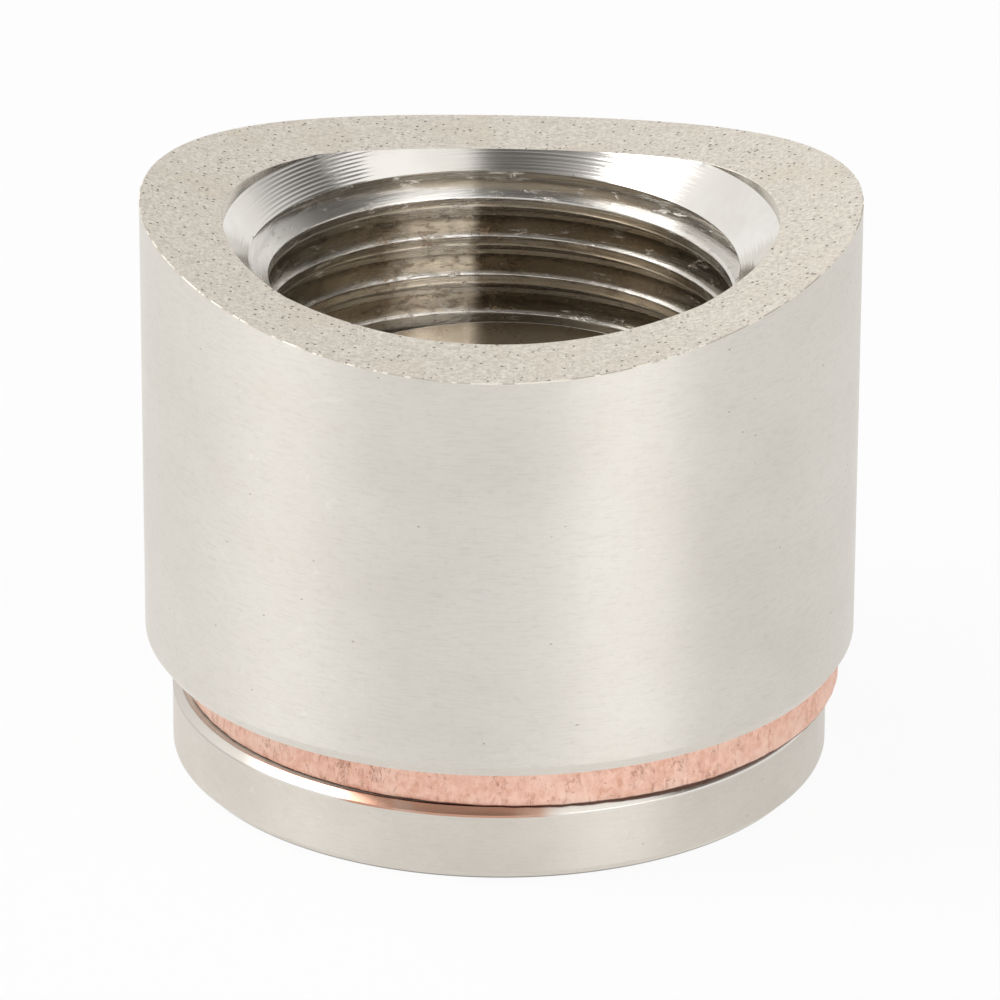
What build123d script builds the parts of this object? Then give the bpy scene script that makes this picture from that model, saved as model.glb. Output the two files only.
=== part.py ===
from build123d import *
import os
from math import cos, radians, sin, sqrt, tan

os.makedirs("parts", exist_ok=True)

# A weld bung for an exhaust pipe, closed from below by a collared plug on a copper washer.
# Millimetres, +Z up along the bore, z = 0 on the flat underside of the plug's collar.
# The pipe that the bung is welded to runs along Y.

# Thread: M18 x 1.5, right-handed. The solids carry its plain cylinders: the bung's bore has
# the diameter over the crests, and the plug's shank runs inside it with a clearance.
thread_diameter = 18.0
thread_pitch = 1.5
thread_crest_bore = thread_diameter - 1.0825 * thread_pitch
thread_clearance = 0.12

# Bung: the outside, the foot that seals on the washer, and the saddle cut
bung_diameter = 25.4
bung_length = 14.8
foot_chamfer_width = 0.3
foot_chamfer_height = 0.43
pipe_diameter = 88.9

# Bung: the mouth of the bore. The counterbore ends just above the saddle's lowest line,
# so it shows only at the two high sides.
counterbore_diameter = 19.6
counterbore_rise = 0.55
bore_chamfer = 0.9

# Plug: collar, undercut, threaded shank and hexagon socket
collar_diameter = 23.5
collar_height = 2.8
collar_top_chamfer = 0.25
collar_foot_chamfer = 0.35
undercut_depth = 0.22
undercut_length = 3.1
shank_length = 10.4
shank_end_chamfer = 0.7
hex_across_flats = 8.0
hex_depth = 6.0
hex_chamfer = 0.5
drill_point_angle = 118.0

# Washer: its hole slips over the thread, and it lies off centre on the collar,
# towards the right, until the hole comes this near to the undercut
washer_diameter = 23.6
washer_thickness = 1.6
washer_slip = 0.4
washer_side_gap = 0.91
washer_shift_angle = 21.5
washer_edge_chamfer = 0.1

bung_radius = bung_diameter / 2
pipe_radius = pipe_diameter / 2
foot_height = collar_height + washer_thickness
saddle_height = foot_height + bung_length
saddle_rise = pipe_radius - sqrt(pipe_radius**2 - bung_radius**2)
top_height = saddle_height + saddle_rise
crest_radius = thread_crest_bore / 2
counterbore_radius = counterbore_diameter / 2
counterbore_height = saddle_height + counterbore_rise
countersink_height = counterbore_height - (counterbore_radius - crest_radius)
collar_radius = collar_diameter / 2
shank_radius = crest_radius - thread_clearance
shank_top = collar_height + shank_length
undercut_radius = shank_radius - undercut_depth
undercut_top = collar_height + undercut_length
hex_corner_radius = hex_across_flats / sqrt(3)
drill_point_height = hex_across_flats / 2 / tan(radians(drill_point_angle / 2))
washer_bore_radius = (thread_diameter + washer_slip) / 2
washer_shift = washer_bore_radius - undercut_radius - washer_side_gap
washer_shift_x = washer_shift * cos(radians(washer_shift_angle))
washer_shift_y = washer_shift * sin(radians(washer_shift_angle))


# Weld bung: a turned ring with a 90 degree countersink and a counterbore in its mouth.
# The saddle is then the pipe's own cylinder taken out of the top.
with BuildPart() as weld_bung:
    with BuildSketch(Plane.XZ):
        with BuildLine():
            Polyline(
                (crest_radius + bore_chamfer, foot_height),
                (bung_radius - foot_chamfer_width, foot_height),
                (bung_radius, foot_height + foot_chamfer_height),
                (bung_radius, top_height),
                (counterbore_radius, top_height),
                (counterbore_radius, counterbore_height),
                (crest_radius, countersink_height),
                (crest_radius, foot_height + bore_chamfer),
                close=True,
            )
        make_face()
    revolve(axis=Axis.Z)

    with BuildSketch(Plane.XZ.offset(-bung_diameter)):
        with Locations((0, saddle_height + pipe_radius)):
            Circle(pipe_radius)
    extrude(amount=2 * bung_diameter, mode=Mode.SUBTRACT)

weld_bung.part.label = "weld_bung"
export_step(weld_bung.part, "parts/weld_bung.step")


# Plug: collar, undercut and shank turned in one section, then the socket for a hexagon key
with BuildPart() as plug:
    with BuildSketch(Plane.XZ):
        with BuildLine():
            Polyline(
                (0, 0),
                (collar_radius - collar_foot_chamfer, 0),
                (collar_radius, collar_foot_chamfer),
                (collar_radius, collar_height - collar_top_chamfer),
                (collar_radius - collar_top_chamfer, collar_height),
                (undercut_radius, collar_height),
                (undercut_radius, undercut_top),
                (shank_radius, undercut_top + undercut_depth),
                (shank_radius, shank_top - shank_end_chamfer),
                (shank_radius - shank_end_chamfer, shank_top),
                (0, shank_top),
                close=True,
            )
        make_face()
    revolve(axis=Axis.Z)

    # The hexagonal walls
    with BuildSketch(Plane.XY):
        RegularPolygon(hex_across_flats / 2, 6, major_radius=False)
    extrude(amount=hex_depth, mode=Mode.SUBTRACT)

    # The countersunk mouth of the socket and the drill point at its end
    with BuildSketch(Plane.XZ):
        with BuildLine():
            Polyline(
                (0, 0),
                (hex_corner_radius + hex_chamfer, 0),
                (0, hex_corner_radius + hex_chamfer),
                close=True,
            )
        make_face()
        with BuildLine():
            Polyline(
                (0, hex_depth),
                (hex_across_flats / 2, hex_depth),
                (0, hex_depth + drill_point_height),
                close=True,
            )
        make_face()
    revolve(axis=Axis.Z, mode=Mode.SUBTRACT)

plug.part.label = "plug"
export_step(plug.part, "parts/plug.step")


# Copper washer: a flat stamped ring with both outer edges broken
with BuildPart() as copper_washer:
    with BuildSketch(Plane.XY.offset(collar_height)):
        with Locations((washer_shift_x, washer_shift_y)):
            Circle(washer_diameter / 2)
            Circle(washer_bore_radius, mode=Mode.SUBTRACT)
    extrude(amount=washer_thickness)
    outer_edges = copper_washer.edges().filter_by(GeomType.CIRCLE).sort_by(SortBy.RADIUS)[-2:]
    chamfer(outer_edges, washer_edge_chamfer)

copper_washer.part.label = "copper_washer"
export_step(copper_washer.part, "parts/copper_washer.step")
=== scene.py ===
import math

import bmesh
import bpy
from mathutils import Matrix, Vector, noise


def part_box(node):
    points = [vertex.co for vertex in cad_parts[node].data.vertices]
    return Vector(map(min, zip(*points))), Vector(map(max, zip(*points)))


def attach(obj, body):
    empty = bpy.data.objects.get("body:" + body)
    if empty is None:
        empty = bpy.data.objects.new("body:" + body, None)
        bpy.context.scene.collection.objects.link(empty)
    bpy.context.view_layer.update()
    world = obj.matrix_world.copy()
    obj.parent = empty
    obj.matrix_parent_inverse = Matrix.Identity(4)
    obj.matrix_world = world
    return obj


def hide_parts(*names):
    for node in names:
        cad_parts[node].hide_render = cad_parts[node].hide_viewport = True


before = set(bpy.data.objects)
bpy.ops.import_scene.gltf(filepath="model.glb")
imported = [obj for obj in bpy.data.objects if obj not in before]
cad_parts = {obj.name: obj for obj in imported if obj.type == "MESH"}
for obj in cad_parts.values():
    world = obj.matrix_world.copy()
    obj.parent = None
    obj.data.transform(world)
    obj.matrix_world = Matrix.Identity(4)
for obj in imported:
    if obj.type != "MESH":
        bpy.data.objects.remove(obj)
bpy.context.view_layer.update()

# A weld bung that a collared plug closes from below, on a copper washer. All three are
# turned, so each mesh is made from its section at every azimuth round the bore's axis.
# Lengths are millimetres unless a comment says otherwise. The frame is in metres.
MM = 0.001

# Sizes read from the frame
bung_low, bung_high = [Vector(corner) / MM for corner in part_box("weld_bung")]
plug_low, plug_high = [Vector(corner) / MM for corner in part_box("plug")]
washer_low, washer_high = [Vector(corner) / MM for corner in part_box("copper_washer")]

BUNG_RADIUS = (bung_high.x - bung_low.x) / 2
FOOT_HEIGHT = bung_low.z
TOP_HEIGHT = bung_high.z
PIPE_RADIUS = 44.45
SADDLE_HEIGHT = TOP_HEIGHT - (PIPE_RADIUS - math.sqrt(PIPE_RADIUS**2 - BUNG_RADIUS**2))
FOOT_CHAMFER_WIDTH = 0.3
FOOT_CHAMFER_HEIGHT = 0.43
BORE_CHAMFER = 0.9
COUNTERBORE_RADIUS = 9.8
COUNTERBORE_RISE = 0.55
COUNTERBORE_HEIGHT = SADDLE_HEIGHT + COUNTERBORE_RISE

COLLAR_RADIUS = (plug_high.x - plug_low.x) / 2
COLLAR_HEIGHT = washer_low.z
COLLAR_FOOT_CHAMFER = 0.35
COLLAR_TOP_CHAMFER = 0.25
SHANK_TOP = plug_high.z
SHANK_END_RADIUS = 7.37
UNDERCUT_RADIUS = 7.85
UNDERCUT_LENGTH = 3.1
UNDERCUT_TOP = COLLAR_HEIGHT + UNDERCUT_LENGTH
HEX_FLAT_RADIUS = 4.0
HEX_DEPTH = 6.0
HEX_MOUTH_CHAMFER = 0.5
HEX_MOUTH_RADIUS = HEX_FLAT_RADIUS / math.cos(math.radians(30)) + HEX_MOUTH_CHAMFER
DRILL_HALF_ANGLE = math.radians(59)
DRILL_POINT_HEIGHT = HEX_FLAT_RADIUS / math.tan(DRILL_HALF_ANGLE)

WASHER_RADIUS = (washer_high.x - washer_low.x) / 2
WASHER_CENTRE = (washer_high + washer_low) / 2
WASHER_BORE_RADIUS = 9.2
WASHER_BORE_CHAMFER = 0.1

# Thread M18 x 1.5, right-handed. A groove of the bung is centred at THREAD_START on the
# azimuth THREAD_AZIMUTH, and every turn raises it by the pitch.
PITCH = 1.5
MAJOR_RADIUS = 9.0
CREST_RADIUS = MAJOR_RADIUS - 0.54125 * PITCH
ROOT_HALF_FLAT = PITCH / 16
FLANK = math.tan(math.radians(30))
THREAD_AZIMUTH = math.radians(92.4)
THREAD_START = 18.30
CREST_ROUND = 0.09

# How far the plug's thread stands back from the bung's
FLANK_CLEARANCE = 0.05
CREST_CLEARANCE = 0.07
CORE_CLEARANCE = 0.16

# The rows that follow the helix begin a little above the place where the countersink is as
# wide as the thread.
ROWS_LEAD = 0.06
THREAD_TOP = COUNTERBORE_HEIGHT - (COUNTERBORE_RADIUS - MAJOR_RADIUS - ROWS_LEAD)

# Rows of the helix on each side of a groove's centre: the corners of its root, the flank,
# the rounded corner of the crest and the crest
SIDE_STEPS = (0.09, 0.10, 0.25, 0.40, 0.51, 0.5625, 0.615, 0.66)
THREAD_STEPS = (*[-step for step in SIDE_STEPS[::-1]], 0.0, *SIDE_STEPS)

# The narrow broken edges at the saddle's outer and inner rim, and round the plug's end
RIM_EDGE = 0.035
LIP_EDGE = 0.03
END_EDGE = 0.04

# Small steps that break the inner and the outer corner of the chamfer at the bung's foot,
# as distances outward and upward from the corner
FOOT_INNER_STEPS = ((-0.06, 0.0), (-0.02, 0.0), (0.015, 0.02), (0.04, 0.057))
FOOT_OUTER_STEPS = ((-0.03, -0.043), (-0.006, -0.005), (0.0, 0.03), (0.0, 0.07))

# The same for the collar's chamfers, as distances along the face and into the solid
COLLAR_STEPS = ((0.07, 0.0), (0.03, 0.0), (-0.012, 0.012), (-0.04, 0.04))

# The washer's sheared wall: it stands in by a set-back, with broad waves and fine tears on
# it. Its lower edge sags in and out, and its corners are rounded over a part of its height.
WALL_SET_BACK = 0.035
BROAD_WAVES = 0.02
FINE_TEARS = 0.022
SAG, SAG_SPREAD, LEAST_SAG = 0.035, 0.03, 0.008
UPPER_EDGE = 0.05
CORNER_DEPTH = 0.07
CORNER_PARTS = 7

COLUMNS = 480
WALL_ROW_INSET = 2.0
SADDLE_ROWS = 5
CONE_ROWS = 4
WASHER_ROWS = 14
SETTLING_STEPS = 20
BISECTIONS = 18
SHARP_ANGLE = math.radians(24)

# In metres
MERGE_DISTANCE = 2e-7


# Surfaces


def smooth_max(a, b, width):
    """The larger of two values, with the corner between them rounded over a width."""
    blend = max(width - abs(a - b), 0) / width
    return max(a, b) + blend * blend * width / 4


def groove_height(azimuth):
    """Height of the centre of one of the groove's turns."""
    return THREAD_START + PITCH * (azimuth - THREAD_AZIMUTH) / math.tau


def groove_distance(azimuth, height):
    """How far a height lies from the nearest groove's centre."""
    return abs((height - groove_height(azimuth) + PITCH / 2) % PITCH - PITCH / 2)


def bung_thread_radius(azimuth, height):
    """The female thread: a flat root, 60 degree flanks and a flat crest with broken edges."""
    distance = groove_distance(azimuth, height)
    flank = MAJOR_RADIUS - max(distance - ROOT_HALF_FLAT, 0) / FLANK
    return smooth_max(flank, CREST_RADIUS, CREST_ROUND)


def plug_thread_radius(azimuth, height):
    """The male thread, inside the female one with a clearance on crest, flanks and core."""
    distance = groove_distance(azimuth, height)
    crest = MAJOR_RADIUS - CREST_CLEARANCE
    flank = crest - max(distance - ROOT_HALF_FLAT + FLANK_CLEARANCE, 0) / FLANK
    return smooth_max(flank, CREST_RADIUS - CORE_CLEARANCE, CREST_ROUND)


def saddle_surface(azimuth, radius):
    """Height of the saddle at a place on the bung."""
    across = radius * math.cos(azimuth)
    return SADDLE_HEIGHT + PIPE_RADIUS - math.sqrt(PIPE_RADIUS**2 - across**2)


def countersink_radius(height):
    """The 90 degree countersink under the counterbore."""
    return COUNTERBORE_RADIUS - (COUNTERBORE_HEIGHT - height)


def foot_bore_radius(height):
    """The chamfer where the thread starts, at the bung's foot."""
    return CREST_RADIUS + BORE_CHAMFER - (height - FOOT_HEIGHT)


def mouth_radius(azimuth):
    """Where the saddle meets the counterbore, or the countersink below it."""
    radius = COUNTERBORE_RADIUS
    if saddle_surface(azimuth, radius) < COUNTERBORE_HEIGHT:
        for _ in range(SETTLING_STEPS):
            radius = countersink_radius(saddle_surface(azimuth, radius))
    return radius


def hexagon_radius(azimuth):
    """Distance from the axis to the wall of the plug's socket."""
    sixth = math.tau / 6
    return HEX_FLAT_RADIUS / math.cos((azimuth % sixth) - sixth / 2)


def washer_rim(azimuth):
    """A place on the washer's outer wall, from the washer's own centre."""
    return WASHER_RADIUS * math.cos(azimuth), WASHER_RADIUS * math.sin(azimuth)


def rough_edge(azimuth, height):
    """How far the washer's sheared wall stands in from its true radius."""
    x, y = washer_rim(azimuth)
    broad = noise.noise(Vector((x * 0.35, y * 0.35, 3.0)))
    torn = noise.fractal(Vector((x * 2.2, y * 2.2, height * 1.8)), 0.8, 2.0, 5)
    return max(WALL_SET_BACK + BROAD_WAVES * broad + FINE_TEARS * torn, 0.0)


# Sections. Each is a list of (radius, height, material) rows, as many at every azimuth. A
# row's material is that of the face between it and the next row.


def between(a, b, count):
    """Evenly spaced values from a up to, but not including, b."""
    return [a + (b - a) * i / count for i in range(count)]


def crossing(below, above, gap):
    """The height between two others at which a gap changes its sign."""
    first = gap(below)
    for _ in range(BISECTIONS):
        middle = (below + above) / 2
        if gap(middle) * first > 0:
            below = middle
        else:
            above = middle
    return below


def helix_rows(azimuth, low, high, surface, limit):
    """Heights that follow the helix between two levels, at the same steps in every pitch.

    The row nearest to where the limit takes over from the thread moves onto that line, so
    that the edge between them is clean.
    """

    def gap(height):
        return limit(height) - surface(azimuth, height)

    first_turn = math.floor((THREAD_START - low) / PITCH) + 2
    turns = math.ceil((high - low) / PITCH) + 3
    heights = [
        min(max(groove_height(azimuth) + PITCH * (turn - first_turn) + step, low), high)
        for turn in range(turns)
        for step in THREAD_STEPS
    ]
    gaps = [gap(height) for height in heights]
    snapped = list(heights)
    for k in range(len(heights) - 1):
        if gaps[k] * gaps[k + 1] < 0:
            edge = crossing(heights[k], heights[k + 1], gap)
            nearer = k if edge - heights[k] < heights[k + 1] - edge else k + 1
            if low < heights[nearer] < high:
                snapped[nearer] = edge
    return snapped


OUTER, SADDLE, EDGE, CONE, THREAD = range(5)


def bung_section(azimuth):
    """The bung from the inner edge of its foot, up the outside, over the saddle and down."""
    lip = mouth_radius(azimuth)
    lip_height = saddle_surface(azimuth, lip)
    foot_corner = BUNG_RADIUS - FOOT_CHAMFER_WIDTH
    foot_top = FOOT_HEIGHT + FOOT_CHAMFER_HEIGHT
    rows = [(CREST_RADIUS + BORE_CHAMFER, FOOT_HEIGHT, OUTER)]
    rows += [(foot_corner + out, FOOT_HEIGHT + up, OUTER) for out, up in FOOT_INNER_STEPS]
    rows += [(BUNG_RADIUS + out, foot_top + up, OUTER) for out, up in FOOT_OUTER_STEPS]
    rows += [
        (BUNG_RADIUS, FOOT_HEIGHT + WALL_ROW_INSET, OUTER),
        (BUNG_RADIUS, SADDLE_HEIGHT - WALL_ROW_INSET, OUTER),
        (BUNG_RADIUS, saddle_surface(azimuth, BUNG_RADIUS) - RIM_EDGE, EDGE),
    ]
    rows += [
        (radius, saddle_surface(azimuth, radius), SADDLE)
        for radius in between(BUNG_RADIUS - RIM_EDGE, lip + LIP_EDGE, SADDLE_ROWS)
    ]
    rows.append((lip + LIP_EDGE, saddle_surface(azimuth, lip + LIP_EDGE), SADDLE))

    wall_top = lip_height
    if lip >= COUNTERBORE_RADIUS:
        wall_top = max(lip_height - LIP_EDGE, COUNTERBORE_HEIGHT)
    cone_top = min(wall_top, COUNTERBORE_HEIGHT)
    rows += [(lip, wall_top, CONE), (lip, cone_top, CONE)]
    rows += [
        (countersink_radius(height), height, CONE)
        for height in between(cone_top, THREAD_TOP, CONE_ROWS)[1:]
    ]

    def limit(height):
        return max(countersink_radius(height), foot_bore_radius(height))

    heights = helix_rows(azimuth, FOOT_HEIGHT, THREAD_TOP, bung_thread_radius, limit)[::-1]
    for height, following in zip(heights, heights[1:] + heights[-1:]):
        middle = (height + following) / 2
        on_cone = countersink_radius(middle) > bung_thread_radius(azimuth, middle)
        radius = max(limit(height), bung_thread_radius(azimuth, height))
        rows.append((radius, height, CONE if on_cone else THREAD))
    return rows


COLLAR, PLUG_THREAD, PLUG_END, COLLAR_EDGE = range(4)


def chamfer_rows(width, face, way, material):
    """A 45 degree chamfer of the collar, from the flat face to the wall, edges broken."""
    rows = [
        (COLLAR_RADIUS - width - along, face + way * inward, material)
        for along, inward in COLLAR_STEPS
    ]
    rows += [
        (COLLAR_RADIUS - inward, face + way * (width + along), material)
        for along, inward in COLLAR_STEPS[::-1]
    ]
    return rows


def plug_section(azimuth):
    """The plug from the end of its socket, out over the collar and up the shank."""
    hexagon = hexagon_radius(azimuth)
    rows = [
        (0.0, HEX_DEPTH + DRILL_POINT_HEIGHT, COLLAR),
        (HEX_FLAT_RADIUS, HEX_DEPTH, COLLAR),
        (hexagon, HEX_DEPTH, COLLAR),
        (hexagon, HEX_MOUTH_RADIUS - hexagon, COLLAR),
        (HEX_MOUTH_RADIUS, 0.0, COLLAR),
    ]
    rows += chamfer_rows(COLLAR_FOOT_CHAMFER, 0.0, 1, COLLAR)
    rows += chamfer_rows(COLLAR_TOP_CHAMFER, COLLAR_HEIGHT, -1, COLLAR_EDGE)[::-1]
    rows[-1] = (*rows[-1][:2], COLLAR)
    rows.append((UNDERCUT_RADIUS, COLLAR_HEIGHT, COLLAR))

    def limit(height):
        start = UNDERCUT_RADIUS + height - UNDERCUT_TOP
        end = SHANK_END_RADIUS + SHANK_TOP - height
        return min(start, end)

    for height in helix_rows(azimuth, UNDERCUT_TOP, SHANK_TOP, plug_thread_radius, limit):
        radius = min(limit(height), plug_thread_radius(azimuth, height))
        rows.append((radius, height, PLUG_THREAD))
    rows.append((SHANK_END_RADIUS - END_EDGE, SHANK_TOP, PLUG_END))
    rows.append((0.0, SHANK_TOP, PLUG_END))
    return rows


def washer_section(azimuth):
    """The washer from the inner edge of its underside, round the sheared wall to the top."""
    low, high = washer_low.z, washer_high.z
    x, y = washer_rim(azimuth)
    ragged = noise.fractal(Vector((x * 1.1, y * 1.1, 7.0)), 0.8, 2.0, 4)
    sag = max(SAG + SAG_SPREAD * ragged, LEAST_SAG)
    rows = [
        (WASHER_BORE_RADIUS + WASHER_BORE_CHAMFER, low, 0),
        (WASHER_RADIUS - 0.5, low, 0),
        (WASHER_RADIUS - 0.16, low + sag * 0.5, 0),
    ]
    wall_low, wall_high = low + sag, high - UPPER_EDGE
    for k, level in enumerate([*between(wall_low, wall_high, WASHER_ROWS), wall_high]):
        part = k / WASHER_ROWS * CORNER_PARTS
        corner = max(1 - part, 0) ** 2 + max(part - (CORNER_PARTS - 1), 0) ** 2
        radius = WASHER_RADIUS - CORNER_DEPTH * corner - rough_edge(azimuth, level)
        rows.append((radius, level, 0))
    rows += [
        (WASHER_RADIUS - 0.2, high, 0),
        (WASHER_RADIUS - 0.45, high, 0),
        (WASHER_BORE_RADIUS + WASHER_BORE_CHAMFER, high, 0),
        (WASHER_BORE_RADIUS, high - WASHER_BORE_CHAMFER, 0),
        (WASHER_BORE_RADIUS, low + WASHER_BORE_CHAMFER, 0),
    ]
    return rows


def ring_mesh(name, section_at, materials, centre=(0.0, 0.0), closed=True):
    """A turned form from its section at each azimuth.

    The last column lies on the first one, a pitch further along the helix, and is merged
    with it.
    """
    points, faces, slots = [], [], []
    sections = [section_at(math.tau * i / COLUMNS) for i in range(COLUMNS + 1)]
    rows = len(sections[0])
    for i, section in enumerate(sections):
        turn = math.tau * (i % COLUMNS) / COLUMNS
        for radius, height, _ in section:
            x = centre[0] + radius * math.cos(turn)
            y = centre[1] + radius * math.sin(turn)
            points.append((x * MM, y * MM, height * MM))
    for i in range(COLUMNS):
        here, beside = i * rows, (i + 1) * rows
        for k in range(rows if closed else rows - 1):
            upper = (k + 1) % rows
            faces.append((here + k, beside + k, beside + upper, here + upper))
            slots.append(sections[i][k][2])
    mesh = bpy.data.meshes.new(name)
    mesh.from_pydata(points, [], faces)
    for material in materials:
        mesh.materials.append(material)
    mesh.polygons.foreach_set("material_index", slots)
    work = bmesh.new()
    work.from_mesh(mesh)
    bmesh.ops.remove_doubles(work, verts=work.verts, dist=MERGE_DISTANCE)
    bmesh.ops.dissolve_degenerate(work, edges=work.edges, dist=MERGE_DISTANCE / 2)
    bmesh.ops.recalc_face_normals(work, faces=work.faces)
    work.to_mesh(mesh)
    work.free()
    mesh.shade_smooth()
    mesh.set_sharp_from_angle(angle=SHARP_ANGLE)
    piece = bpy.data.objects.new(name, mesh)
    bpy.context.scene.collection.objects.link(piece)
    return piece


# Colours, as linear red, green and blue: the turned outsides
BUNG_LIGHT, BUNG_SHADE = (0.805, 0.77, 0.71), (0.78, 0.742, 0.68)
COLLAR_LIGHT, COLLAR_SHADE = (0.765, 0.72, 0.655), (0.72, 0.672, 0.607)
SHANK_LIGHT, SHANK_SHADE = (0.79, 0.745, 0.68), (0.70, 0.65, 0.585)
STEEL_DARK = (0.60, 0.56, 0.50)
SCRATCH = (0.97, 0.96, 0.94)
SPECK = (0.30, 0.25, 0.20)
# Painted contact shadow at the floor's level, over the plug's whole underside
PAINTED_CONTACT_SHADE = (0.10, 0.095, 0.09)

# The saddle and its edge
SAND_DEEP, SAND_PALE = (0.68, 0.62, 0.535), (0.94, 0.885, 0.795)
SAND_WARM = (0.78, 0.69, 0.56)
SAND_DULL = (0.52, 0.46, 0.39)
PIT_DARK = (0.10, 0.07, 0.045)
PIT_BROWN = (0.30, 0.24, 0.18)
GLINT = (0.99, 0.97, 0.93)
BURR_DULL, BURR_BRIGHT = (0.55, 0.50, 0.42), (0.95, 0.89, 0.78)

# The cone, the thread and the plug's end
CONE_BRIGHT, CONE_DULL = (0.82, 0.795, 0.75), (0.74, 0.71, 0.66)
THREAD_BARE = (0.74, 0.71, 0.66)
# Painted reflection on the thread's back left wall
THREAD_REFLECTION = (0.99, 0.96, 0.91)
# The film's colour on the left, and its darker colour towards the right
FILM_LEFT, FILM_RIGHT = (0.64, 0.59, 0.505), (0.34, 0.30, 0.245)
OCHRE = (0.40, 0.26, 0.13)
BLACK_DIRT = (0.06, 0.042, 0.028)
# Painted reflection on the plug's end: lighter colours for its left side, darker ones for its
# right
END_LIT_REFLECTION, END_LIT_REFLECTION_DIM = (0.95, 0.85, 0.71), (0.88, 0.77, 0.62)
END_DARK_REFLECTION, END_DARK_REFLECTION_DIM = (0.60, 0.54, 0.455), (0.50, 0.44, 0.355)
END_BROWN = (0.34, 0.25, 0.16)

# The collar's upper edge and the copper
# Painted shade for the far left of the collar's upper edge, and the edge's own colour
EDGE_PAINTED_SHADE, EDGE_BRIGHT = (0.62, 0.59, 0.545), (0.80, 0.765, 0.71)
# Painted reflection of the copper washer on the collar's upper edge
COPPER_REFLECTION = (0.56, 0.315, 0.225)
COPPER, COPPER_PALE = (0.80, 0.455, 0.34), (0.93, 0.63, 0.51)
COPPER_SMEAR = (0.96, 0.72, 0.61)
COPPER_TORN = (0.62, 0.28, 0.18)
COPPER_CRACK = (0.46, 0.19, 0.12)
COPPER_PIT = (0.48, 0.20, 0.13)
# Painted shade where the washer sits on the collar
COPPER_CONTACT_SHADE = (0.09, 0.035, 0.025)

# Distance between the tool marks on the cone, and between those on the plug's end
CONE_FEED = 0.11
END_FEED = 0.16

# The film on the thread thins out around this height.
FILM_TOP = THREAD_START - 0.4


def put(tree, socket, value):
    """Link a socket to another one, or set it to a constant or a colour."""
    if isinstance(value, bpy.types.NodeSocket):
        tree.links.new(value, socket)
    elif isinstance(value, tuple):
        socket.default_value = (*value, 1.0)
    else:
        socket.default_value = value


def calculate(tree, operation, a, b=0.0):
    """The result of an operation on sockets and constants."""
    node = tree.nodes.new("ShaderNodeMath")
    node.operation = operation
    put(tree, node.inputs[0], a)
    put(tree, node.inputs[1], b)
    return node.outputs[0]


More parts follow.
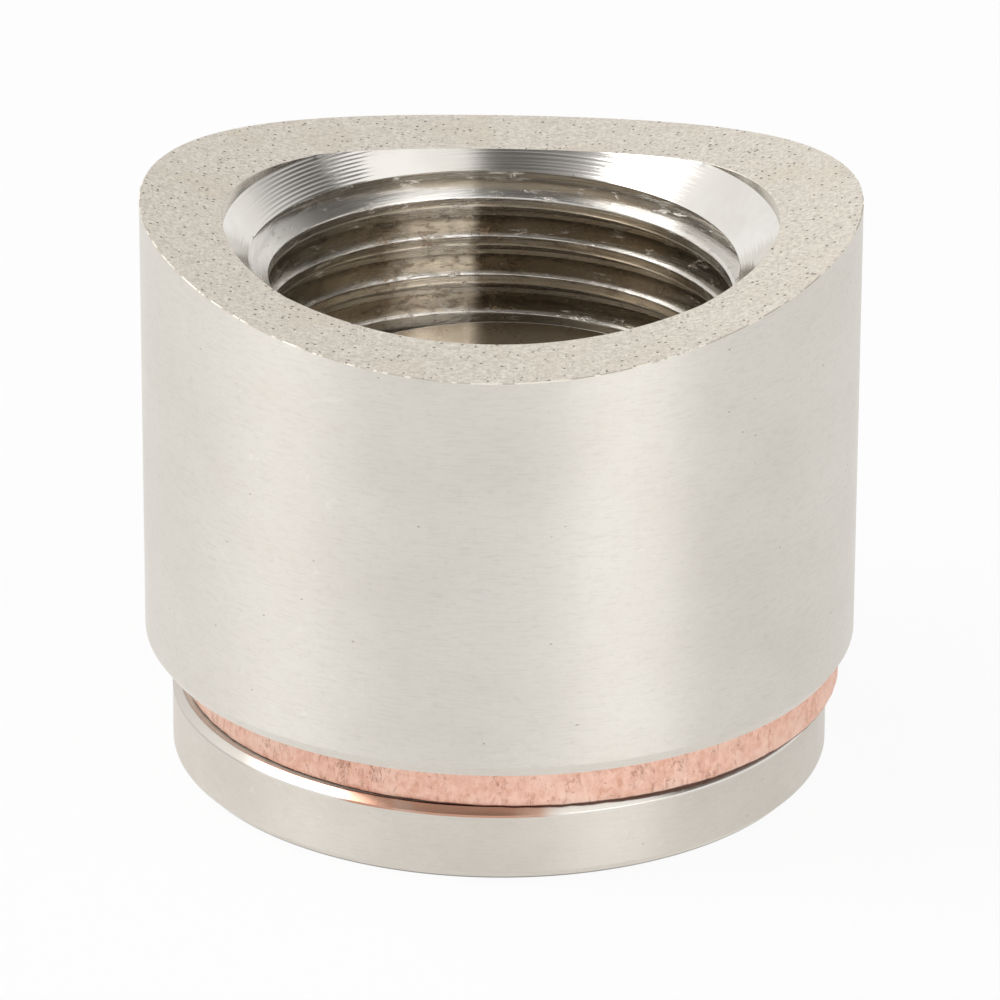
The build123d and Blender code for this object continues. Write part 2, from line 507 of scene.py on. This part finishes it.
class Nodes:
    """A material's node tree, with short calls for the nodes that the surfaces share."""

    def __init__(self, name):
        self.material = bpy.data.materials.new(name)
        self.material.use_nodes = True
        self.tree = self.material.node_tree
        self.tree.nodes.clear()
        output = self.tree.nodes.new("ShaderNodeOutputMaterial")
        self.shader = self.tree.nodes.new("ShaderNodeBsdfPrincipled")
        self.link(self.shader.outputs[0], output.inputs[0])
        self.place = self.tree.nodes.new("ShaderNodeTexCoord").outputs["Object"]

    def link(self, source, target):
        self.tree.links.new(source, target)

    def math(self, operation, a, b=0.0):
        return calculate(self.tree, operation, a, b)

    def times(self, a, b):
        return self.math("MULTIPLY", a, b)

    def plus(self, a, b):
        return self.math("ADD", a, b)

    def minus(self, a, b):
        return self.math("SUBTRACT", a, b)

    def scaled(self, across, along, offset=0.0):
        """The place in millimetres, times one scale across the axis and one along it."""
        node = self.tree.nodes.new("ShaderNodeMapping")
        node.inputs["Scale"].default_value = (across / MM, across / MM, along / MM)
        node.inputs["Location"].default_value = (offset, offset * 0.7, offset * 1.3)
        self.link(self.place, node.inputs["Vector"])
        return node.outputs[0]

    def axis(self, letter):
        """One coordinate of the place, in millimetres."""
        node = self.tree.nodes.new("ShaderNodeSeparateXYZ")
        self.link(self.scaled(1, 1), node.inputs[0])
        return node.outputs["XYZ".index(letter)]

    def radius(self):
        """Distance from the axis, in millimetres."""
        length = self.tree.nodes.new("ShaderNodeVectorMath")
        length.operation = "LENGTH"
        self.link(self.scaled(1, 0), length.inputs[0])
        return length.outputs["Value"]

    def noise(self, across, along, offset=0.0, detail=3.0, roughness=0.55, distortion=0.0):
        """Noise with one scale across the axis and one along it."""
        node = self.tree.nodes.new("ShaderNodeTexNoise")
        node.inputs["Scale"].default_value = 1.0
        node.inputs["Detail"].default_value = detail
        node.inputs["Roughness"].default_value = roughness
        node.inputs["Distortion"].default_value = distortion
        self.link(self.scaled(across, along, offset), node.inputs["Vector"])
        return node.outputs["Fac"]

    def ramp(self, value, low, high, to_low=0.0, to_high=1.0):
        """A value from one span to another, smooth and clamped."""
        node = self.tree.nodes.new("ShaderNodeMapRange")
        node.interpolation_type = "SMOOTHSTEP"
        for name, amount in zip(
            ("From Min", "From Max", "To Min", "To Max"), (low, high, to_low, to_high)
        ):
            node.inputs[name].default_value = amount
        self.link(value, node.inputs["Value"])
        return node.outputs[0]

    def falling(self, value, low, high, start=1.0):
        """A value that falls from a start to zero over a span."""
        return self.ramp(value, low, high, start, 0.0)

    def contour(self, field, level, width):
        """A mask of thin lines, where a field has this level."""
        return self.falling(self.math("ABSOLUTE", self.minus(field, level)), 0.0, width)

    def mix(self, share, a, b):
        """One colour into another."""
        node = self.tree.nodes.new("ShaderNodeMix")
        node.data_type = "RGBA"
        put(self.tree, node.inputs["Factor"], share)
        put(self.tree, node.inputs[6], a)
        put(self.tree, node.inputs[7], b)
        return node.outputs[2]

    def tint(self, color, mask, amount, other):
        """A colour with this amount of another one over it, where a mask is set."""
        return self.mix(self.times(mask, amount), color, other)

    def bump(self, height, distance):
        """A relief in millimetres."""
        node = self.tree.nodes.new("ShaderNodeBump")
        node.inputs["Distance"].default_value = distance * MM
        node.inputs["Strength"].default_value = 1.0
        self.link(height, node.inputs["Height"])
        return node.outputs[0]

    def specks(self, scale, share, size, offset, flat=1.0, ragged=0.0):
        """A mask of scattered small specks: this share of the cells holds one."""
        cells = self.tree.nodes.new("ShaderNodeTexVoronoi")
        cells.inputs["Scale"].default_value = 1.0
        self.link(self.scaled(scale, scale * flat, offset), cells.inputs["Vector"])
        pick = self.tree.nodes.new("ShaderNodeSeparateXYZ")
        self.link(cells.outputs["Color"], pick.inputs[0])
        chosen = self.math("LESS_THAN", pick.outputs[0], share)
        distance = cells.outputs["Distance"]
        if ragged:
            fine = self.noise(scale * 2.5, scale * 2.5, offset, detail=2.0)
            distance = self.plus(distance, self.times(self.minus(fine, 0.5), ragged))
        return self.times(chosen, self.falling(distance, size * 0.5, size))

    def hairlines(self, scale, width, offset):
        """Thin curved scratches: the contour lines of a smooth noise, broken by another."""
        field = self.noise(scale, scale, offset, detail=1.0, distortion=0.6)
        gate = self.noise(scale * 1.9, scale * 1.9, offset + 5, detail=0.0)
        return self.times(self.contour(field, 0.5, width), self.ramp(gate, 0.5, 0.62))

    def polished_round(self, amount):
        """Polishing marks that run round the axis, so that highlights spread up and down."""
        tangent = self.tree.nodes.new("ShaderNodeTangent")
        tangent.direction_type = "RADIAL"
        tangent.axis = "Z"
        self.link(tangent.outputs[0], self.shader.inputs["Tangent"])
        self.shader.inputs["Anisotropic"].default_value = amount
        self.shader.inputs["Anisotropic Rotation"].default_value = 0.25

    def finish(self, color, roughness, normal, metallic=1.0):
        self.link(color, self.shader.inputs["Base Color"])
        self.link(roughness, self.shader.inputs["Roughness"])
        self.link(normal, self.shader.inputs["Normal"])
        self.shader.inputs["Metallic"].default_value = metallic
        return self.material


# Materials. Places on them are millimetres: X from left to right in the photograph, Z up.


def satin_steel(name, seed, light, shade):
    """Turned steel, polished along the turning: clouds, curved scratches and a few specks.

    It has painted contact shadow at the floor's level, which is the plug's underside.
    """
    n = Nodes(name)
    lay = n.noise(1.5, 13.0, seed, detail=4.0, roughness=0.65)
    cloud = n.noise(0.22, 0.26, seed + 4, detail=5.0, roughness=0.6)
    grain = n.noise(4.0, 6.0, seed + 6, detail=3.0, roughness=0.6)
    swirls = n.math("MAXIMUM", n.hairlines(0.9, 0.008, seed), n.hairlines(1.5, 0.010, seed + 9))
    dark = n.specks(2.2, 0.05, 0.15, seed + 3, flat=1.7, ragged=0.1)
    color = n.mix(n.ramp(cloud, 0.32, 0.68), light, shade)
    color = n.tint(color, n.ramp(lay, 0.45, 0.75), 0.28, STEEL_DARK)
    color = n.tint(color, n.ramp(grain, 0.5, 0.8), 0.25, STEEL_DARK)
    color = n.tint(color, swirls, 0.22, SCRATCH)
    color = n.tint(color, dark, 0.55, SPECK)
    # Painted contact shadow: near black at the floor's level, over the plug's whole underside
    color = n.mix(n.falling(n.axis("Z"), 0.03, 0.12, 0.8), color, PAINTED_CONTACT_SHADE)
    rough = n.plus(n.ramp(cloud, 0.2, 0.8, 0.455, 0.485), n.times(swirls, 0.08))
    relief = n.plus(n.times(lay, 0.25), n.times(grain, 0.5))
    relief = n.minus(relief, n.times(swirls, 0.5))
    n.polished_round(0.85)
    return n.finish(color, rough, n.bump(relief, 0.003))


def blasted_face(name):
    """The saddle: a matt, sandy, finely pitted face with dark and bright specks."""
    n = Nodes(name)
    grain = n.noise(6.0, 6.0, detail=4.0, roughness=0.75)
    coarse = n.noise(1.8, 1.8, 3.0)
    cloud = n.noise(0.35, 0.35, 8.0, detail=2.0)
    pits = n.specks(4.2, 0.36, 0.26, 1.0, ragged=0.3)
    small = n.specks(6.5, 0.55, 0.28, 4.0, ragged=0.3)
    bright = n.specks(5.5, 0.14, 0.22, 6.0)
    color = n.mix(n.ramp(grain, 0.30, 0.70), SAND_DEEP, SAND_PALE)
    color = n.tint(color, n.ramp(cloud, 0.5, 0.72), 0.35, SAND_WARM)
    color = n.tint(color, n.ramp(coarse, 0.55, 0.75), 0.25, SAND_DULL)
    color = n.tint(color, pits, 0.92, PIT_DARK)
    color = n.tint(color, small, 0.5, PIT_BROWN)
    color = n.tint(color, bright, 0.8, GLINT)
    rough = n.ramp(grain, 0.3, 0.8, 0.52, 0.72)
    relief = n.minus(n.minus(grain, n.times(pits, 0.8)), n.times(small, 0.4))
    n.shader.inputs["Specular IOR Level"].default_value = 0.2
    return n.finish(color, rough, n.bump(relief, 0.025), metallic=0.6)


def burr_edge(name):
    """The saddle's thin outer edge, bright where it is broken and dull between."""
    n = Nodes(name)
    gate = n.noise(1.4, 1.4, 2.0, detail=4.0, roughness=0.7)
    color = n.mix(n.ramp(gate, 0.48, 0.55), BURR_DULL, BURR_BRIGHT)
    rough = n.ramp(gate, 0.5, 0.6, 0.65, 0.5)
    return n.finish(color, rough, n.bump(gate, 0.02), metallic=0.5)


def turned_cone(name):
    """The countersink: bright steel with fine tool marks, deepest in a patch on the left."""
    n = Nodes(name)
    lay = n.noise(0.06, 11.0, 1.0, detail=2.0, roughness=0.6)
    broad = n.noise(0.3, 0.6, 5.0, detail=4.0)
    marks = n.math("SINE", n.times(n.axis("Z"), math.tau / CONE_FEED))
    across = n.axis("X")
    chatter = n.times(n.ramp(across, -9.0, -7.9), n.ramp(across, -6.2, -4.4, 0.85, 0.13))
    color = n.mix(n.ramp(broad, 0.35, 0.7), CONE_BRIGHT, CONE_DULL)
    rough = n.ramp(broad, 0.3, 0.8, 0.12, 0.22)
    relief = n.plus(n.times(marks, n.times(chatter, 0.5)), lay)
    return n.finish(color, rough, n.bump(relief, 0.008))


def stained_thread(name):
    """The thread: steel under a brown-grey film, with ochre dirt and burrs on its flanks.

    The film is worn off the crests' edges, and a patch at the back left is painted near white
    as a painted reflection. The dirt lies left of the middle.
    """
    n = Nodes(name)
    lay = n.noise(0.25, 9.0, 2.0, detail=4.0, roughness=0.65)
    dirt = n.noise(0.9, 3.4, 6.0, detail=6.0, roughness=0.68, distortion=0.5)
    patch = n.noise(0.28, 0.5, 9.0, detail=2.0)
    chips = n.noise(1.5, 5.0, 17.0, detail=5.0, roughness=0.7, distortion=0.6)
    depth = n.falling(n.axis("Z"), FILM_TOP - 1.2, FILM_TOP + 0.2)
    across = n.plus(n.axis("X"), n.minus(lay, 0.5))
    out = n.radius()

    # Painted reflection: a near white patch on the back left wall of the thread
    painted_reflection = n.times(n.ramp(across, -4.9, -3.4), n.falling(across, -1.55, -1.0))
    painted_reflection = n.times(painted_reflection, n.ramp(n.axis("Y"), 4.0, 6.0))
    worn = n.times(n.ramp(out, CREST_RADIUS + 0.005, CREST_RADIUS + 0.02), 0.85)
    worn = n.times(worn, n.falling(out, CREST_RADIUS + 0.09, CREST_RADIUS + 0.16))
    film = n.times(depth, n.ramp(patch, 0.2, 0.6, 0.8, 1.0))
    film = n.times(film, n.minus(1.0, worn))
    middle = n.times(n.ramp(across, -5.8, -4.6), n.ramp(across, -0.8, 1.2, 1.0, 0.1))
    chipped = n.times(depth, middle)
    ochre = n.times(n.ramp(dirt, 0.60, 0.67), chipped)
    ochre = n.math("MAXIMUM", ochre, n.times(n.ramp(chips, 0.57, 0.62, 0.0, 0.9), chipped))
    black = n.times(n.ramp(dirt, 0.42, 0.35), n.times(depth, 0.5))
    black = n.math("MAXIMUM", black, n.times(n.contour(chips, 0.56, 0.016), chipped))

    # The film is lighter on the left and darker towards the right.
    stain = n.mix(n.ramp(across, -6.0, -3.6), FILM_LEFT, FILM_RIGHT)
    color = n.mix(film, THREAD_BARE, stain)
    color = n.mix(painted_reflection, color, THREAD_REFLECTION)
    color = n.tint(color, ochre, 0.75, OCHRE)
    color = n.tint(color, black, 0.8, BLACK_DIRT)
    rough = n.plus(n.ramp(lay, 0.3, 0.8, 0.18, 0.32), n.times(ochre, 0.35))
    relief = n.plus(lay, n.times(n.ramp(dirt, 0.58, 0.72), 0.9))
    return n.finish(color, rough, n.bump(relief, 0.014))


def plug_end_steel(name):
    """The plug's faced end: a dull sheen with fine rings, browner near the edge, and a
    painted reflection that makes its left side lighter and its right side darker."""
    n = Nodes(name)
    out = n.radius()
    rings = n.math("SINE", n.times(out, math.tau / END_FEED))
    cloud = n.noise(0.5, 0.5, 4.0, detail=4.0)
    clouded = n.ramp(cloud, 0.35, 0.65)
    bright_reflection = n.mix(clouded, END_LIT_REFLECTION, END_LIT_REFLECTION_DIM)
    dark_reflection = n.mix(clouded, END_DARK_REFLECTION, END_DARK_REFLECTION_DIM)
    # Painted reflection: lighter on the left of the plug's end, darker on its right
    color = n.mix(n.ramp(n.axis("X"), -1.8, -0.6), bright_reflection, dark_reflection)
    color = n.mix(n.ramp(out, 6.4, 7.6, 0.0, 0.5), color, END_BROWN)
    return n.finish(color, n.ramp(cloud, 0.3, 0.7, 0.22, 0.34), n.bump(rings, 0.002))


def reflecting_edge(name):
    """The collar's upper edge: polished, with a painted copper reflection in the middle and
    painted shade at the far left.
    """
    n = Nodes(name)
    cloud = n.noise(0.6, 0.6, 15.0, detail=4.0)
    across = n.axis("X")
    # Painted reflection of the copper washer, in the middle where the edge mirrors it
    copper_zone = n.times(n.ramp(across, -5.4, -4.6), n.falling(across, 1.6, 2.8))
    painted_copper = n.times(copper_zone, n.ramp(cloud, 0.3, 0.5, 0.8, 1.0))
    # Painted shade: darker at the far left, where the edge mirrors no lamp
    shaded_edge = n.mix(n.ramp(across, -9.0, -7.8), EDGE_PAINTED_SHADE, EDGE_BRIGHT)
    color = n.mix(painted_copper, shaded_edge, COPPER_REFLECTION)
    rough = n.ramp(across, -8.8, -7.6, 0.55, 0.2)
    return n.finish(color, rough, n.bump(cloud, 0.004))


def sheared_copper(name):
    """Pale pink copper with a torn edge: fine reddish cracks, smears and small pits."""
    n = Nodes(name)
    grain = n.noise(3.6, 3.0, detail=6.0, roughness=0.75)
    torn = n.noise(1.6, 0.7, 4.0, detail=5.0, roughness=0.7, distortion=0.5)
    cloud = n.noise(0.5, 0.5, 9.0)
    cracks = n.noise(2.6, 1.3, 13.0, detail=5.0, roughness=0.8, distortion=0.6)
    line = n.times(n.contour(cracks, 0.5, 0.03), n.ramp(torn, 0.50, 0.62))
    pits = n.specks(4.6, 0.12, 0.26, 2.0)
    # Painted shade: the washer's lowest edge, where it sits on the collar, is painted near
    # black
    corner = n.plus(n.axis("Z"), n.times(n.minus(torn, 0.5), 0.12))
    corner = n.falling(corner, COLLAR_HEIGHT + 0.05, COLLAR_HEIGHT + 0.11, 0.9)
    color = n.mix(n.ramp(grain, 0.36, 0.64), COPPER, COPPER_PALE)
    color = n.tint(color, n.ramp(cloud, 0.42, 0.66), 0.55, COPPER_SMEAR)
    color = n.tint(color, n.ramp(torn, 0.42, 0.34), 0.5, COPPER_TORN)
    color = n.tint(color, line, 0.5, COPPER_CRACK)
    color = n.tint(color, pits, 0.5, COPPER_PIT)
    color = n.mix(corner, color, COPPER_CONTACT_SHADE)
    rough = n.ramp(grain, 0.3, 0.8, 0.46, 0.64)
    relief = n.minus(n.plus(n.times(grain, 0.6), torn), n.times(line, 0.5))
    return n.finish(color, rough, n.bump(relief, 0.035), metallic=0.85)


# The pieces. Materials stand in the order of their numbers in the sections.
bung_materials = [
    satin_steel("bung_outside", 1.0, BUNG_LIGHT, BUNG_SHADE),
    blasted_face("saddle_face"),
    burr_edge("saddle_edge"),
    turned_cone("countersink_steel"),
    stained_thread("thread_steel"),
]
plug_materials = [
    satin_steel("plug_outside", 11.0, COLLAR_LIGHT, COLLAR_SHADE),
    satin_steel("plug_thread_steel", 21.0, SHANK_LIGHT, SHANK_SHADE),
    plug_end_steel("plug_end_steel"),
    reflecting_edge("collar_edge"),
]

bung = ring_mesh("bung_turned", bung_section, bung_materials)
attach(bung, "bung")
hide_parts("weld_bung")

plug = ring_mesh("plug_turned", plug_section, plug_materials, closed=False)
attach(plug, "plug")
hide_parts("plug")

washer_materials = [sheared_copper("copper_sheared")]
washer = ring_mesh("washer_sheared", washer_section, washer_materials, WASHER_CENTRE.xy)
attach(washer, "washer")
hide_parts("copper_washer")


# Floor, light and camera. Lengths are metres down to the lamps, and angles are degrees.
FLOOR_REACH = 3.0
FLOOR_WHITE = (0.9, 0.9, 0.9)
GLOW_WHITE = (1.0, 1.0, 1.0)
FLOOR_GLOW = 0.92
MIRROR_SHARE = 0.75
WORLD_STRENGTH = 0.8

# The ceiling dims along this way, between these two rises, to this colour.
DIM_WAY = (0.205, 0.143, 1.0)
DIM_START, DIM_END = 0.55, 0.86
DIM_COLOR = (0.12, 0.115, 0.11)

LAMP_AIM = Vector((0, 0, 0.012))
LAMP_DISTANCE = 0.42
PANEL_PLACE = Vector((0.205, -0.175, 0.42))
UPWARD = Vector((0, 0, 1))


def seen_directly(tree, in_mirrors=1.0):
    """One for a ray from the camera, a share for a mirror-like one, zero for diffuse light."""
    path = tree.nodes.new("ShaderNodeLightPath").outputs
    mirrored = calculate(tree, "MAXIMUM", path["Is Glossy Ray"], path["Is Transmission Ray"])
    share = calculate(tree, "MULTIPLY", mirrored, in_mirrors)
    return calculate(tree, "MAXIMUM", path["Is Camera Ray"], share)


def mix_shaders(tree, share, a, b):
    """One shader into another."""
    node = tree.nodes.new("ShaderNodeMixShader")
    tree.links.new(share, node.inputs[0])
    tree.links.new(a.outputs[0], node.inputs[1])
    tree.links.new(b.outputs[0], node.inputs[2])
    return node


def white_sheet():
    """Matt white, which the camera looks through at the white world.

    So it keeps the part's soft shadow, and the plug is still seen when it is screwed out
    and reaches below the floor.
    """
    material = bpy.data.materials.new("white_sheet")
    material.use_nodes = True
    tree = material.node_tree
    tree.nodes.clear()
    output = tree.nodes.new("ShaderNodeOutputMaterial")
    matt = tree.nodes.new("ShaderNodeBsdfDiffuse")
    put(tree, matt.inputs["Color"], FLOOR_WHITE)
    glow = tree.nodes.new("ShaderNodeEmission")
    put(tree, glow.inputs["Color"], GLOW_WHITE)
    glow.inputs["Strength"].default_value = 1.0
    clear = tree.nodes.new("ShaderNodeBsdfTransparent")
    path = tree.nodes.new("ShaderNodeLightPath").outputs
    lit = mix_shaders(tree, path["Is Camera Ray"], glow, clear)
    share = calculate(tree, "MULTIPLY", seen_directly(tree, MIRROR_SHARE), FLOOR_GLOW)
    tree.links.new(mix_shaders(tree, share, matt, lit).outputs[0], output.inputs[0])
    return material


def white_floor():
    """A wide white sheet under the part."""
    low, high = -FLOOR_REACH, FLOOR_REACH
    corners = [(low, low, 0), (high, low, 0), (high, high, 0), (low, high, 0)]
    mesh = bpy.data.meshes.new("floor")
    mesh.from_pydata(corners, [], [(0, 1, 2, 3)])
    floor = bpy.data.objects.new("floor", mesh)
    bpy.context.scene.collection.objects.link(floor)
    mesh.materials.append(white_sheet())


def studio_world():
    """White walls low down, and a ceiling that is dimmer overhead, most at the back right."""
    world = bpy.data.worlds.new("studio")
    bpy.context.scene.world = world
    world.use_nodes = True
    tree = world.node_tree
    tree.nodes.clear()
    output = tree.nodes.new("ShaderNodeOutputWorld")
    background = tree.nodes.new("ShaderNodeBackground")
    place = tree.nodes.new("ShaderNodeTexCoord")
    rise = tree.nodes.new("ShaderNodeVectorMath")
    rise.operation = "DOT_PRODUCT"
    rise.inputs[1].default_value = DIM_WAY
    tree.links.new(place.outputs["Generated"], rise.inputs[0])
    ramp = tree.nodes.new("ShaderNodeValToRGB")
    walls, ceiling = ramp.color_ramp.elements
    walls.position, walls.color = DIM_START, (*GLOW_WHITE, 1.0)
    ceiling.position, ceiling.color = DIM_END, (*DIM_COLOR, 1.0)
    tree.links.new(rise.outputs["Value"], ramp.inputs[0])
    tree.links.new(ramp.outputs[0], background.inputs["Color"])
    strength = tree.nodes.new("ShaderNodeMapRange")
    strength.inputs["To Min"].default_value = WORLD_STRENGTH
    strength.inputs["To Max"].default_value = 1.0
    tree.links.new(seen_directly(tree), strength.inputs["Value"])
    tree.links.new(strength.outputs[0], background.inputs["Strength"])
    tree.links.new(background.outputs[0], output.inputs[0])


def toward(azimuth, elevation):
    """The direction of an azimuth and an elevation."""
    turn, rise = math.radians(azimuth), math.radians(elevation)
    level = math.cos(rise)
    return Vector((math.cos(turn) * level, math.sin(turn) * level, math.sin(rise)))


def soft_lamp(name, place, way, size, brightness):
    """A soft box at a place, facing against a way. Its power follows from its brightness."""
    light = bpy.data.lights.new(name, "AREA")
    light.shape = "RECTANGLE"
    light.size, light.size_y = size
    light.energy = brightness * math.pi * size[0] * size[1]
    lamp = bpy.data.objects.new(name, light)
    lamp.location = place
    lamp.rotation_euler = way.to_track_quat("Z", "Y").to_euler()
    bpy.context.scene.collection.objects.link(lamp)


def lamp_round(name, azimuth, elevation, size, brightness):
    """A soft box at the usual distance that looks at the middle of the part."""
    way = toward(azimuth, elevation)
    soft_lamp(name, LAMP_AIM + way * LAMP_DISTANCE, way, size, brightness)


white_floor()
studio_world()
lamp_round("key_lamp", 188, 46, (0.20, 0.19), 4.4)
lamp_round("back_lamp", 145, 60, (0.13, 0.13), 3.2)
lamp_round("front_card", -48, 12, (0.25, 0.20), 1.4)
soft_lamp("ceiling_panel", PANEL_PLACE, UPWARD, (0.29, 0.63), 1.0)

# The camera stands where the photograph's was, found from the edges of the bung, washer,
# collar and thread. Angles are degrees and lengths millimetres.
CAMERA_DISTANCE = 279.3
CAMERA_ELEVATION = 23.56
CAMERA_AZIMUTH = -87.64
CAMERA_TILT = 0.12
CAMERA_ROLL = 0.25
AIM_HEIGHT = 10.0
FOCAL_PIXELS = 7838
IMAGE_PIXELS = 1000
SENSOR_WIDTH = 36.0


def add_camera():
    way = toward(CAMERA_AZIMUTH, CAMERA_ELEVATION)
    location = Vector((0, 0, AIM_HEIGHT)) + way * CAMERA_DISTANCE
    backward = toward(CAMERA_AZIMUTH, CAMERA_ELEVATION + CAMERA_TILT)
    level_right = UPWARD.cross(backward).normalized()
    level_up = backward.cross(level_right)
    roll = math.radians(CAMERA_ROLL)
    right = math.cos(roll) * level_right + math.sin(roll) * level_up
    up = math.cos(roll) * level_up - math.sin(roll) * level_right
    data = bpy.data.cameras.new("camera")
    data.sensor_fit = "HORIZONTAL"
    data.sensor_width = SENSOR_WIDTH
    data.lens = FOCAL_PIXELS * SENSOR_WIDTH / IMAGE_PIXELS
    data.clip_start, data.clip_end = 0.01, 20.0
    camera = bpy.data.objects.new("camera", data)
    turned = Matrix((right, up, backward)).transposed().to_4x4()
    camera.matrix_world = Matrix.Translation(location * MM) @ turned
    bpy.context.scene.collection.objects.link(camera)
    bpy.context.scene.camera = camera


add_camera()
bpy.context.scene.view_settings.view_transform = "Standard"
